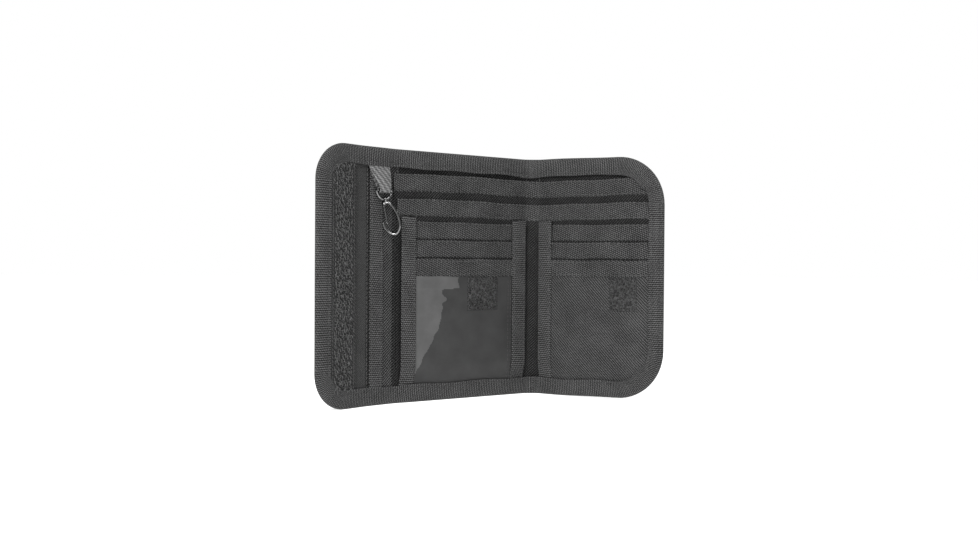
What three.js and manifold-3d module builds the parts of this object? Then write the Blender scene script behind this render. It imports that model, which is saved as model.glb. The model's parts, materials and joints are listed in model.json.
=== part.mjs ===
// Trifold wallet in woven nylon, standing part-open on its bottom edges.
// Millimetres, +Z up. The middle panel stands in the XZ plane and its inside faces -Y.
// Each panel is drawn flat in its own group, and the group is turned about a fold line.
import * as THREE from 'three';
import { mergeVertices } from 'three/addons/utils/BufferGeometryUtils.js';
import ManifoldModule from 'manifold-3d';

const wasm = await ManifoldModule();
wasm.setup();
const { Manifold, Mesh } = wasm;

// ---- driving dimensions -------------------------------------------------------------
const HEIGHT = 126.6;
const MIDDLE_WIDTH = 79;
const SPINE_WIDTH = 7.4;
const RIGHT_WIDTH = 73;
const GUSSET_WIDTH = 18.5;
const FLAP_LENGTH = 31.5;

const SPINE_TURN = 34.15;
const GUSSET_TURN = 9;
const FLAP_TURN = 7.1;

const BINDING = 7;
const BINDING_WALL = 0.4;
const RIGHT_CORNER = 28;
const FLAP_CORNER = 18;
const CHANNEL_TRIM = 0.2;
const FOLD_GAP = 0.9;
const SEAM_RADIUS = 0.6;

// height of each open pocket mouth above the base, and of the tape that binds it
const DIVIDER_A_TOP = 114.8;
const DIVIDER_B_TOP = 102.2;
const POCKET_1_TOP = 91.0;
const POCKET_PITCH = 9.4;
const POCKET_2_TOP = POCKET_1_TOP - POCKET_PITCH;
const POCKET_3_TOP = POCKET_2_TOP - POCKET_PITCH;
const TAPE_HEIGHT = 8.8;
const SIDE_TAPE_TOP = POCKET_1_TOP + 2;
const STACK_GAP = 0.3;
const STACK_FOOT = BINDING + STACK_GAP;

// depth of each layer in front of the fold plane (its back face and its front face)
const FOLD_PLANE = 0.5;
const SHELL = [-1.1, -0.5];
const STIFFENER = [-0.4, 0.1];
const LINING = [0.2, 0.5];
const BINDING_DEPTH = [-1.5, 0.8];
const BINDING_CHANNEL = [-1.2, 0.6];
const DIVIDER_A = [1.05, 1.2];
const DIVIDER_B = [1.5, 1.65];
const POCKET_1 = [1.95, 2.1];
const POCKET_2 = [2.4, 2.55];
const POCKET_3 = [2.75, 2.9];
const LOOP_PATCH = [2.95, 3.15];
const HOOK_PATCH = [3.2, 3.35];
const BAND = [3.4, 3.65];
const SIDE_TAPE = [3.7, 3.9];
const TAPE_SWELL = 0.1;
const COIN_PANEL = [-1.9, -1.6];
const ZIP_TEETH = [-2.3, -2.0];
const UPPER_LOOP = [-2.2, -1.6];
const LOWER_LOOP = [-2.6, -2.0];

// the row origin lies under the middle of the bottom binding's thickness
const MIDDLE_SHIFT = -(FOLD_PLANE - (BINDING_DEPTH[0] + BINDING_DEPTH[1]) / 2);

// ---- materials ------------------------------------------------------------------------
const material = (color, roughness, metalness = 0) =>
  new THREE.MeshStandardMaterial({ color, roughness, metalness });
const nylon = material(0x484848, 0.85);
const liningCloth = material(0x3d3d3d, 0.9);
const tapeCloth = material(0x4d4d4d, 0.8);
const boardPlastic = material(0x2a2a2a, 0.6);
const hookTapeCloth = material(0x3c3c3c, 0.95);
const loopTapeCloth = material(0x2d2d2d, 1.0);
const strapCloth = material(0x6a6a6a, 0.75);
const clearFilm = material(0x5c5c5c, 0.12);
const steel = material(0x55565a, 0.3, 1);
const zipPlastic = material(0x2b2b2b, 0.5);

// ---- shape helpers --------------------------------------------------------------------
function named(name, geometry, surface) {
  const mesh = new THREE.Mesh(geometry, surface);
  mesh.name = name;
  return mesh;
}

// an outline in the panel's own width and height, between two depths
function plate(shape, [back, front]) {
  const geometry = new THREE.ExtrudeGeometry(shape, {
    depth: front - back, bevelEnabled: false, curveSegments: 8,
  });
  geometry.rotateX(Math.PI / 2);
  geometry.translate(0, FOLD_PLANE - back, 0);
  return geometry;
}

function rectangle(x0, x1, z0, z1) {
  const shape = new THREE.Shape();
  shape.moveTo(x0, z0);
  shape.lineTo(x1, z0);
  shape.lineTo(x1, z1);
  shape.lineTo(x0, z1);
  shape.closePath();
  return shape;
}

// a rectangle whose two corners on the side of +X are round
function roundRight(x0, x1, z0, z1, radius) {
  const shape = new THREE.Shape();
  shape.moveTo(x0, z0);
  shape.lineTo(x1 - radius, z0);
  shape.absarc(x1 - radius, z0 + radius, radius, -Math.PI / 2, 0);
  shape.lineTo(x1, z1 - radius);
  shape.absarc(x1 - radius, z1 - radius, radius, 0, Math.PI / 2);
  shape.lineTo(x0, z1);
  shape.closePath();
  return shape;
}

function slab(x0, x1, z0, z1, depth) {
  return plate(rectangle(x0, x1, z0, z1), depth);
}

// ---- joins and cuts -------------------------------------------------------------------
function toSolid(geometry) {
  const bare = new THREE.BufferGeometry();
  bare.setAttribute('position', geometry.attributes.position.clone());
  if (geometry.index) bare.setIndex(geometry.index.clone());
  const welded = mergeVertices(bare, 1e-4);
  return new Manifold(new Mesh({
    numProp: 3,
    vertProperties: new Float32Array(welded.attributes.position.array),
    triVerts: new Uint32Array(welded.index.array),
  }));
}

function toGeometry(solid) {
  const mesh = solid.getMesh();
  const geometry = new THREE.BufferGeometry();
  geometry.setAttribute('position', new THREE.BufferAttribute(mesh.vertProperties, 3));
  geometry.setIndex(new THREE.BufferAttribute(mesh.triVerts, 1));
  const flat = geometry.toNonIndexed();
  flat.computeVertexNormals();
  return flat;
}

function union(...geometries) {
  return toGeometry(Manifold.union(geometries.map(toSolid)));
}

function cut(base, ...tools) {
  return toGeometry(tools.map(toSolid).reduce((left, tool) => left.subtract(tool), toSolid(base)));
}

function common(left, right) {
  return toGeometry(toSolid(left).intersect(toSolid(right)));
}

function mirrored(geometry) {
  return toGeometry(toSolid(geometry).mirror([1, 0, 0]));
}

// ---- repeated sub-parts ---------------------------------------------------------------
// how many wall thicknesses a channel runs on past the tape's inner edge, to leave it open
const CHANNEL_OVERSHOOT = 10;

// tape folded over a straight edge of a panel: the edge is at z = HEIGHT or at z = 0
function straightBinding(x0, x1, atTop) {
  const edge = atTop ? HEIGHT : 0;
  const inner = atTop ? HEIGHT - BINDING : BINDING;
  const wall = atTop ? -BINDING_WALL : BINDING_WALL;
  const ends = [edge, inner].sort((a, b) => a - b);
  const pastInner = inner + wall * CHANNEL_OVERSHOOT;
  const channelEnds = [edge + wall, pastInner].sort((a, b) => a - b);
  return cut(
    slab(x0, x1, ends[0], ends[1], BINDING_DEPTH),
    slab(x0 - 1, x1 + 1, channelEnds[0], channelEnds[1], BINDING_CHANNEL),
  );
}

// tape folded over three edges of a panel with two round corners, drawn towards +X
function roundBinding(width, corner) {
  const inside = roundRight(-1, width - BINDING, BINDING, HEIGHT - BINDING, corner - BINDING);
  const reach = width - BINDING_WALL;
  const channel = roundRight(-1, reach, BINDING_WALL, HEIGHT - BINDING_WALL, corner - BINDING_WALL);
  return cut(
    plate(roundRight(FOLD_GAP, width, 0, HEIGHT, corner), BINDING_DEPTH),
    plate(inside, [BINDING_DEPTH[0] - 1, BINDING_DEPTH[1] + 1]),
    plate(channel, BINDING_CHANNEL),
  );
}

// a sheet with a thicker bound edge along its top
function boundSheet(x0, x1, top, layer) {
  const swollen = [layer[0] - TAPE_SWELL, layer[1] + TAPE_SWELL];
  return union(
    slab(x0, x1, STACK_FOOT, top, layer),
    slab(x0, x1, top - TAPE_HEIGHT, top, swollen),
  );
}

// a card pocket is a sheet, and a folded tape rides over its top edge; trim shapes its corners
const TAPE_GRIP = 0.05;
const TAPE_FOLD = 0.2;
const SHEET_DROP = 0.3;

function cardPocket(prefix, x0, x1, top, layer, trim) {
  const outside = [layer[0] - TAPE_SWELL - TAPE_GRIP, layer[1] + TAPE_SWELL + TAPE_GRIP];
  const hold = [layer[0] - TAPE_GRIP, layer[1] + TAPE_GRIP];
  const sheet = slab(x0, x1, STACK_FOOT, top - SHEET_DROP, layer);
  const tape = cut(
    slab(x0, x1, top - TAPE_HEIGHT, top, outside),
    slab(x0 - 1, x1 + 1, top - TAPE_HEIGHT - 1, top - TAPE_FOLD, hold),
  );
  return [
    named(prefix, trim(sheet), liningCloth),
    named(`${prefix}_tape`, trim(tape), tapeCloth),
  ];
}

const untrimmed = (geometry) => geometry;

// the cloth along a fold line, as thick as it lies, between the panels on its two sides
function foldSeam(name, x) {
  const geometry = new THREE.CylinderGeometry(SEAM_RADIUS, SEAM_RADIUS, HEIGHT - 1, 12);
  geometry.rotateX(Math.PI / 2);
  geometry.translate(x, 0, HEIGHT / 2);
  return named(name, geometry, nylon);
}

// outer cloth, board and inner cloth of a straight-edged panel
function straightLayers(prefix, x0, x1) {
  const low = BINDING_WALL + CHANNEL_TRIM;
  const high = HEIGHT - BINDING_WALL - CHANNEL_TRIM;
  return [
    named(`${prefix}_shell`, slab(x0, x1, low, high, SHELL), nylon),
    named(`${prefix}_lining`, slab(x0, x1, low, high, LINING), liningCloth),
    named(`${prefix}_binding_top`, straightBinding(x0, x1, true), tapeCloth),
    named(`${prefix}_binding_bottom`, straightBinding(x0, x1, false), tapeCloth),
  ];
}

// ---- middle panel ---------------------------------------------------------------------
const MIDDLE_EDGE = MIDDLE_WIDTH / 2;
const STACK_LEFT = -MIDDLE_EDGE + 1.1;
const STACK_RIGHT = MIDDLE_EDGE - 1.3;
const SLOT_LEFT = -30;
const SLOT_RIGHT = 28.7;
const WINDOW_INSET = 3;
const BAND_BOTTOM = POCKET_3_TOP - TAPE_HEIGHT - 0.8;
const BOARD_SIDE_GAP = 4;
const MIDDLE_PATCH = [0.7, 19.6];
const PATCH_LENGTH = 17;

function middlePanel() {
  const group = new THREE.Group();
  const [x0, x1] = [-MIDDLE_EDGE + FOLD_GAP, MIDDLE_EDGE - FOLD_GAP];
  group.add(...straightLayers('middle', x0, x1));
  const [left, right] = [x0 + BOARD_SIDE_GAP, x1 - BOARD_SIDE_GAP];
  const board = slab(left, right, BINDING + 1, HEIGHT - BINDING - 1, STIFFENER);
  group.add(named('middle_stiffener', board, boardPlastic));
  const wide = [STACK_LEFT, STACK_RIGHT];
  group.add(named('middle_divider_a', boundSheet(...wide, DIVIDER_A_TOP, DIVIDER_A), liningCloth));
  group.add(named('middle_divider_b', boundSheet(...wide, DIVIDER_B_TOP, DIVIDER_B), liningCloth));
  const slot = [SLOT_LEFT - WINDOW_INSET, SLOT_RIGHT + WINDOW_INSET];
  group.add(...cardPocket('middle_card_pocket_1', ...slot, POCKET_1_TOP, POCKET_1, untrimmed));
  group.add(...cardPocket('middle_card_pocket_2', ...slot, POCKET_2_TOP, POCKET_2, untrimmed));
  const film = slab(...slot, STACK_FOOT, POCKET_3_TOP - 1, POCKET_3);
  group.add(named('window_film', film, clearFilm));
  const band = slab(...slot, BAND_BOTTOM, POCKET_3_TOP, BAND);
  group.add(named('window_band', band, tapeCloth));
  group.add(...closurePatches('middle', ...MIDDLE_PATCH));
  const leftTape = slab(STACK_LEFT, SLOT_LEFT, STACK_FOOT, SIDE_TAPE_TOP, SIDE_TAPE);
  group.add(named('middle_side_tape_left', leftTape, tapeCloth));
  const rightTape = slab(SLOT_RIGHT, STACK_RIGHT, STACK_FOOT, SIDE_TAPE_TOP, SIDE_TAPE);
  group.add(named('middle_side_tape_right', rightTape, tapeCloth));
  group.add(foldSeam('spine_seam_left', MIDDLE_EDGE));
  group.add(foldSeam('gusset_seam_inner', -MIDDLE_EDGE));
  return group;
}

// loop patch on the lowest pocket, and the hook patch behind the band that it meets
function closurePatches(prefix, x0, x1) {
  const loop = slab(x0, x1, BAND_BOTTOM - PATCH_LENGTH, POCKET_3_TOP - 3, LOOP_PATCH);
  const hook = slab(x0, x1, BAND_BOTTOM + 1, POCKET_3_TOP - 2, HOOK_PATCH);
  return [
    named(`${prefix}_loop_patch`, loop, loopTapeCloth),
    named(`${prefix}_hook_patch`, hook, hookTapeCloth),
  ];
}

// ---- spine ----------------------------------------------------------------------------
function spine() {
  const group = new THREE.Group();
  group.add(...straightLayers('spine', FOLD_GAP, SPINE_WIDTH - FOLD_GAP));
  group.add(foldSeam('spine_seam_right', SPINE_WIDTH));
  return group;
}

// ---- right panel ----------------------------------------------------------------------
const RIGHT_STACK = [1.3, RIGHT_WIDTH - BINDING - STACK_GAP];
const RIGHT_SLOT_LEFT = 9.8;
const RIGHT_PATCH = [44, 59.5];
const BOARD_END_GAP = 1;
const COIN_TOP = 59;
const ZIP_TAPE_HEIGHT = 9;
const ZIP_MIDDLE = COIN_TOP - ZIP_TAPE_HEIGHT / 2;
const BACK_LOOP = [49.5, 65.5];
const COIN_LEFT = 3;
const CHAIN_INSET = 3;

// the right panel's outline, drawn in by inset
function rightOutline(x0, inset) {
  return roundRight(x0, RIGHT_WIDTH - inset, inset, HEIGHT - inset, RIGHT_CORNER - inset);
}

// what lies on the right panel stops short of its binding, round the corners too
function insideBinding(geometry) {
  const room = plate(rightOutline(-1, BINDING + STACK_GAP), [-10, 10]);
  return common(geometry, room);
}

function rightPanel() {
  const group = new THREE.Group();
  const cloth = rightOutline(FOLD_GAP, BINDING_WALL + CHANNEL_TRIM);
  group.add(named('right_shell', plate(cloth, SHELL), nylon));
  group.add(named('right_lining', plate(cloth, LINING), liningCloth));
  const board = rightOutline(FOLD_GAP + BOARD_SIDE_GAP, BINDING + BOARD_END_GAP);
  group.add(named('right_stiffener', plate(board, STIFFENER), boardPlastic));
  group.add(named('right_binding', roundBinding(RIGHT_WIDTH, RIGHT_CORNER), tapeCloth));
  const dividerA = boundSheet(...RIGHT_STACK, DIVIDER_A_TOP, DIVIDER_A);
  group.add(named('right_divider_a', insideBinding(dividerA), liningCloth));
  const dividerB = boundSheet(...RIGHT_STACK, DIVIDER_B_TOP, DIVIDER_B);
  group.add(named('right_divider_b', insideBinding(dividerB), liningCloth));
  const slot = [RIGHT_SLOT_LEFT - WINDOW_INSET, RIGHT_STACK[1]];
  group.add(...cardPocket('right_card_pocket_1', ...slot, POCKET_1_TOP, POCKET_1, insideBinding));
  group.add(...cardPocket('right_card_pocket_2', ...slot, POCKET_2_TOP, POCKET_2, insideBinding));
  const panel = insideBinding(slab(...slot, STACK_FOOT, POCKET_3_TOP - 1, POCKET_3));
  group.add(named('right_pocket_3', panel, nylon));
  group.add(named('right_pocket_3_band', slab(...slot, BAND_BOTTOM, POCKET_3_TOP, BAND), tapeCloth));
  group.add(...closurePatches('right', ...RIGHT_PATCH));
  const tape = slab(RIGHT_STACK[0], RIGHT_SLOT_LEFT, STACK_FOOT, SIDE_TAPE_TOP, SIDE_TAPE);
  group.add(named('right_side_tape', tape, tapeCloth));
  group.add(...coinPocket());
  return group;
}

// the zipped pocket and the loop tape on the outside of the right panel
function coinPocket() {
  const [left, right] = [COIN_LEFT, RIGHT_STACK[1]];
  const panelTop = COIN_TOP - ZIP_TAPE_HEIGHT - STACK_GAP;
  const panel = slab(left, right, STACK_FOOT, panelTop, COIN_PANEL);
  const zipTape = slab(left, right, COIN_TOP - ZIP_TAPE_HEIGHT, COIN_TOP, COIN_PANEL);
  const chain = chainOutline(left + CHAIN_INSET, right - CHAIN_INSET);
  const upper = slab(...BACK_LOOP, COIN_TOP + 2, HEIGHT - BINDING - 2, UPPER_LOOP);
  const lower = slab(...BACK_LOOP, STACK_FOOT + 0.5, panelTop - 1, LOWER_LOOP);
  return [
    named('coin_pocket_panel', insideBinding(panel), nylon),
    named('coin_zip_tape', zipTape, tapeCloth),
    named('coin_zip_chain', plate(chain, ZIP_TEETH), zipPlastic),
    named('back_loop_tape_upper', insideBinding(upper), loopTapeCloth),
    named('back_loop_tape_lower', insideBinding(lower), loopTapeCloth),
  ];
}

// the meshed coil of the zip, its two edges notched once for each tooth
const TOOTH_PITCH = 1.5;
const TOOTH_REACH = 1.6;
const TOOTH_ROOT = 1.2;

function chainOutline(x0, x1) {
  const count = Math.floor((x1 - x0) / TOOTH_PITCH);
  const shape = new THREE.Shape();
  shape.moveTo(x0, ZIP_MIDDLE - TOOTH_ROOT);
  for (let tooth = 0; tooth < count; tooth += 1) {
    const at = x0 + tooth * TOOTH_PITCH;
    shape.lineTo(at + TOOTH_PITCH / 4, ZIP_MIDDLE - TOOTH_REACH);
    shape.lineTo(at + TOOTH_PITCH * 3 / 4, ZIP_MIDDLE - TOOTH_REACH);
    shape.lineTo(at + TOOTH_PITCH, ZIP_MIDDLE - TOOTH_ROOT);
  }
  for (let tooth = count - 1; tooth >= 0; tooth -= 1) {
    const at = x0 + tooth * TOOTH_PITCH;
    shape.lineTo(at + TOOTH_PITCH, ZIP_MIDDLE + TOOTH_ROOT);
    shape.lineTo(at + TOOTH_PITCH * 3 / 4, ZIP_MIDDLE + TOOTH_REACH);
    shape.lineTo(at + TOOTH_PITCH / 4, ZIP_MIDDLE + TOOTH_REACH);
  }
  shape.lineTo(x0, ZIP_MIDDLE + TOOTH_ROOT);
  shape.closePath();
  return shape;
}

// slider straddling the coil, parked at the closed end by the spine; two ears hold its pin
const SLIDER_AT = 11;
const SLIDER_HALF = 3.5;
const SLIDER_HEIGHT = 5.2;
const EAR_HALF = 0.8;
const SLIDER_DEPTH = [-3.4, -2.5];
const EAR_DEPTH = [-5.0, -3.3];
const EAR_THICKNESS = 0.7;
const EAR_SPAN = 2.4;
const PIN_DEPTH = -4.4;
const PIN_RADIUS = 0.35;
const KNUCKLE_RADIUS = 0.8;
const KNUCKLE_LENGTH = 1.8;
const PULLER_WIDTH = 3.6;
const PULLER_LENGTH = 15;

// a round bar along the zip, centred on the slider
function barAlongZip(radius, length) {
  const bar = new THREE.CylinderGeometry(radius, radius, length, 16);
  bar.rotateZ(Math.PI / 2);
  bar.translate(SLIDER_AT, FOLD_PLANE - PIN_DEPTH, ZIP_MIDDLE);
  return bar;
}

function zipSlider() {
  const [z0, z1] = [ZIP_MIDDLE - SLIDER_HEIGHT / 2, ZIP_MIDDLE + SLIDER_HEIGHT / 2];
  const body = slab(SLIDER_AT - SLIDER_HALF, SLIDER_AT + SLIDER_HALF, z0, z1, SLIDER_DEPTH);
  const ears = [-1, 1].map((side) => {
    const inner = SLIDER_AT + side * EAR_SPAN / 2;
    const ends = [inner, inner + side * EAR_THICKNESS].sort((a, b) => a - b);
    return slab(...ends, ZIP_MIDDLE - EAR_HALF, ZIP_MIDDLE + EAR_HALF, EAR_DEPTH);
  });
  const pin = barAlongZip(PIN_RADIUS, EAR_SPAN + EAR_THICKNESS);
  return named('zip_slider', union(body, ...ears, pin), steel);
}

// the puller's knuckle turns on the pin, and its blade hangs down
const PULLER_THICKNESS = 0.5;
const NECK_HALF = 0.8;
const BLADE_DROP = 0.6;
const PIN_PLAY = 0.15;

function zipPuller() {
  const foot = ZIP_MIDDLE - KNUCKLE_RADIUS;
  const depth = [PIN_DEPTH - PULLER_THICKNESS / 2, PIN_DEPTH + PULLER_THICKNESS / 2];
  const half = PULLER_WIDTH / 2;
  const [bladeFoot, bladeHead] = [foot - PULLER_LENGTH, foot - BLADE_DROP];
  const blade = slab(SLIDER_AT - half, SLIDER_AT + half, bladeFoot, bladeHead, depth);
  const neck = slab(SLIDER_AT - NECK_HALF, SLIDER_AT + NECK_HALF, foot - 1, ZIP_MIDDLE, depth);
  const knuckle = barAlongZip(KNUCKLE_RADIUS, KNUCKLE_LENGTH);
  const bore = barAlongZip(PIN_RADIUS + PIN_PLAY, PULLER_WIDTH + 2);
  return named('zip_puller', cut(union(blade, neck, knuckle), bore), steel);
}

// ---- gusset, drawn from the inner fold at x = 0 towards -X ------------------------------
const HEM = [-17.1, -8.9];
const HEM_DEPTH = [0.6, 0.85];
const HEM_END_GAP = 0.4;
const STRAP_MIDDLE = -9.6;
const STRAP_WIDTH = 7.2;
const STRAP_FOOT = 104.2;
const STRAP_HEAD = HEIGHT - BINDING - STACK_GAP;
const STRAP_BACK = 1.15;
const STRAP_WALL = 0.4;
const STRAP_FLARE = 0.85;
const RING_RADIUS = 4.6;
const RING_WIRE = 0.5;
const RING_PLAY = 0.35;
const RING_DEPTH = STRAP_BACK + STRAP_WALL + RING_PLAY + RING_WIRE;
const RING_BAR = STRAP_FOOT + STRAP_WALL + RING_PLAY + RING_WIRE;
const HOOK_WIRE = 0.55;
const HOOK_EYE = 1.2;
const EYE_WIRE = 0.35;
const HOOK_TOP = RING_BAR - RING_RADIUS - 0.2;
const HOOK_YAW = 48;
const HOOK_LEAN = 14;
const GATE_WIRE = 0.35;

function gusset() {
  const group = new THREE.Group();
  const [x0, x1] = [-GUSSET_WIDTH + FOLD_GAP, -FOLD_GAP];
  group.add(...straightLayers('gusset', x0, x1));
  const hemFoot = BINDING + HEM_END_GAP;
  const hem = slab(...HEM, hemFoot, HEIGHT - hemFoot, HEM_DEPTH);
  group.add(named('gusset_hem_tape', hem, tapeCloth));
  group.add(keyStrap());
  group.add(foldSeam('gusset_seam_outer', -GUSSET_WIDTH));
  return group;
}

// a tape doubled into a loop; its two ends are caught under the top binding
const STRAP_JOIN = 5;
const STRAP_RISE = 3;

function keyStrap() {
  const bore = RING_WIRE + RING_PLAY;
  const reach = bore + STRAP_WALL;
  const bend = STRAP_FOOT + reach;
  const [back, front] = [RING_DEPTH - reach, RING_DEPTH + reach];
  const doubled = back + 2.2 * STRAP_WALL;
  const outer = new THREE.Shape();
  outer.moveTo(back, STRAP_HEAD);
  outer.lineTo(back, bend);
  outer.absarc(RING_DEPTH, bend, reach, Math.PI, 2 * Math.PI);
  outer.lineTo(front, bend + STRAP_RISE);
  outer.lineTo(doubled, STRAP_HEAD - STRAP_JOIN);
  outer.lineTo(doubled, STRAP_HEAD);
  outer.closePath();
  const inner = new THREE.Path();
  inner.moveTo(back + STRAP_WALL, bend + STRAP_RISE + STRAP_WALL);
  inner.lineTo(back + STRAP_WALL, bend);
  inner.absarc(RING_DEPTH, bend, bore, Math.PI, 2 * Math.PI);
  inner.lineTo(front - STRAP_WALL, bend + STRAP_RISE - STRAP_WALL / 2);
  inner.closePath();
  outer.holes.push(inner);
  const geometry = new THREE.ExtrudeGeometry(outer, {
    depth: STRAP_WIDTH, bevelEnabled: false, curveSegments: 8,
  });
  // shape x is depth and shape y is height; the extrusion runs across the gusset
  geometry.applyMatrix4(new THREE.Matrix4().set(
    0, 0, -1, STRAP_MIDDLE + STRAP_WIDTH / 2,
    -1, 0, 0, FOLD_PLANE,
    0, 1, 0, 0,
    0, 0, 0, 1,
  ));
  return named('key_strap', flared(geometry), strapCloth);
}

// the strap is bunched at the ring and full width at its sewn end
function flared(geometry) {
  const at = geometry.attributes.position;
  for (let i = 0; i < at.count; i += 1) {
    const up = (at.getZ(i) - STRAP_FOOT) / (STRAP_HEAD - STRAP_FOOT);
    const spread = 1 + STRAP_FLARE * Math.max(0, up);
    at.setX(i, STRAP_MIDDLE + (at.getX(i) - STRAP_MIDDLE) * spread);
  }
  geometry.computeVertexNormals();
  return geometry;
}

// a D of wire: its bar runs through the strap's loop and its bow hangs below
function keyRing() {
  const span = 2 * (RING_RADIUS + RING_WIRE);
  const bow = new THREE.TorusGeometry(RING_RADIUS, RING_WIRE, 8, 32);
  bow.rotateX(Math.PI / 2);
  const above = new THREE.BoxGeometry(2 * span, 2 * span, 2 * span);
  above.translate(0, 0, span);
  const bar = new THREE.CylinderGeometry(RING_WIRE, RING_WIRE, span, 12);
  bar.rotateZ(Math.PI / 2);
  const geometry = union(cut(bow, above), bar);
  geometry.translate(STRAP_MIDDLE, FOLD_PLANE - RING_DEPTH, RING_BAR);
  return named('key_ring', geometry, steel);
}

// round wire along a smooth path; the points are across and up from the eye's middle
function wireAlong(points, radius) {
  const path = new THREE.CatmullRomCurve3(points.map(([x, z]) => new THREE.Vector3(x, 0, z)));
  const section = new THREE.Shape();
  section.absarc(0, 0, radius, 0, 2 * Math.PI);
  const wire = new THREE.ExtrudeGeometry(section, {
    steps: 36, curveSegments: 5, extrudePath: path, bevelEnabled: false,
  });
  wire.rotateY(-THREE.MathUtils.degToRad(HOOK_LEAN));
  return wire;
}

const HOOK_PATH = [
  [0, -1.5], [1.9, -2.0], [3.9, -5.8], [4.8, -10.2], [4.4, -14.6],
  [2.0, -17.4], [-0.8, -16.6], [-2.7, -13.9], [-3.2, -10.8],
];
const GATE_PATH = [[-0.9, -2.8], [-1.0, -5.6], [-1.1, -8.6], [-1.3, -11.6]];
const COLLAR_RADIUS = 0.9;
const COLLAR_HEIGHT = 1.2;
const COLLAR_DROP = 1.9;

// the hook and its gate share a frame whose origin is the middle of the eye
function hookPlaced(geometry) {
  geometry.rotateZ(-THREE.MathUtils.degToRad(HOOK_YAW));
  geometry.translate(STRAP_MIDDLE, FOLD_PLANE - RING_DEPTH, HOOK_TOP);
  return geometry;
}

function snapHook() {
  const eye = new THREE.TorusGeometry(HOOK_EYE, EYE_WIRE, 8, 20);
  eye.rotateY(Math.PI / 2);
  eye.rotateZ(THREE.MathUtils.degToRad(HOOK_YAW));
  const wire = wireAlong(HOOK_PATH, HOOK_WIRE);
  const collar = new THREE.CylinderGeometry(COLLAR_RADIUS, COLLAR_RADIUS, COLLAR_HEIGHT, 12);
  collar.rotateX(Math.PI / 2);
  collar.translate(0, 0, -COLLAR_DROP);
  return named('snap_hook', hookPlaced(union(eye, wire, collar)), steel);
}

function snapGate() {
  return named('snap_gate', hookPlaced(wireAlong(GATE_PATH, GATE_WIRE)), steel);
}

// ---- flap, drawn from the outer fold at x = 0 towards -X ---------------------------------
const HOOK_TAPE = [-24.2, -7.2];
const HOOK_TAPE_DEPTH = [0.85, 1.6];
const HOOK_TAPE_INSET = BINDING + 0.1;

function flap() {
  const group = new THREE.Group();
  const outline = (x0, inset) =>
    roundRight(x0, FLAP_LENGTH - inset, inset, HEIGHT - inset, FLAP_CORNER - inset);
  const cloth = outline(FOLD_GAP, BINDING_WALL + CHANNEL_TRIM);
  group.add(named('flap_shell', mirrored(plate(cloth, SHELL)), nylon));
  group.add(named('flap_lining', mirrored(plate(cloth, LINING)), liningCloth));
  group.add(named('flap_binding', mirrored(roundBinding(FLAP_LENGTH, FLAP_CORNER)), tapeCloth));
  const room = mirrored(plate(outline(0, HOOK_TAPE_INSET), HOOK_TAPE_DEPTH));
  const tape = slab(...HOOK_TAPE, 0, HEIGHT, HOOK_TAPE_DEPTH);
  group.add(named('flap_hook_tape', common(tape, room), hookTapeCloth));
  return group;
}

// ---- assembly ---------------------------------------------------------------------------
function turned(group, x, y, degrees) {
  group.position.set(x, y, 0);
  group.rotation.z = THREE.MathUtils.degToRad(degrees);
  return group;
}

function wallet() {
  const flapGroup = turned(flap(), -GUSSET_WIDTH, 0, FLAP_TURN);
  const gussetGroup = turned(gusset(), -MIDDLE_EDGE, 0, GUSSET_TURN);
  gussetGroup.add(flapGroup, keyRing(), snapHook(), snapGate());
  const rightGroup = turned(rightPanel(), SPINE_WIDTH, 0, -SPINE_TURN);
  rightGroup.add(zipSlider(), zipPuller());
  const spineGroup = turned(spine(), MIDDLE_EDGE, 0, -SPINE_TURN);
  spineGroup.add(rightGroup);
  const middleGroup = middlePanel();
  middleGroup.position.y = MIDDLE_SHIFT;
  middleGroup.add(gussetGroup, spineGroup);
  const root = new THREE.Group();
  root.add(middleGroup);
  return root;
}

export default wallet();
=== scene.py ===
"""Looks of the trifold wallet: cloth, tapes, stitching, film, hooks and wire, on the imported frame."""
import json
import random
from math import cos, exp, hypot, pi, radians, sin, sqrt, tan

import bpy
from mathutils import Matrix, Vector

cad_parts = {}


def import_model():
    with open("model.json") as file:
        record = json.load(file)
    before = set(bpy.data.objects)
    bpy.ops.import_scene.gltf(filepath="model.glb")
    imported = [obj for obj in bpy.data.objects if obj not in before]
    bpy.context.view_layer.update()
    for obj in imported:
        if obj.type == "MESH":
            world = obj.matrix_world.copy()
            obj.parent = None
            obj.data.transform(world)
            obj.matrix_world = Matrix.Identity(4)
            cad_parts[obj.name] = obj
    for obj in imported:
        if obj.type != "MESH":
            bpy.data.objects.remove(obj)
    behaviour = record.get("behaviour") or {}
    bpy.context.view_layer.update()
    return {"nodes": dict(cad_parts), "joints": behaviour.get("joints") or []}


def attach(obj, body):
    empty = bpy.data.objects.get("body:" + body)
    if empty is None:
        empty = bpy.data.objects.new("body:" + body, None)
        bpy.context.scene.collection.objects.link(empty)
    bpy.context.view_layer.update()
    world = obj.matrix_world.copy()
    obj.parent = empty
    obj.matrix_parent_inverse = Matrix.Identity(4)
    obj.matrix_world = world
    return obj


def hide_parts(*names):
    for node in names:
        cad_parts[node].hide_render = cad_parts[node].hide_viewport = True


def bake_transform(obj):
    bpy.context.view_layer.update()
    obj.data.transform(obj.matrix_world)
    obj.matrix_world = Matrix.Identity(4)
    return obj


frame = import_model()

MM = 0.001
JOINTS = {joint["name"]: joint for joint in frame["joints"]}

# ---- where the panels stand ----
# Depth is counted from the middle of the board and grows towards the pockets.
# The folds lie at this depth, on the front of the lining.
FOLD_DEPTH = 0.5


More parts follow.
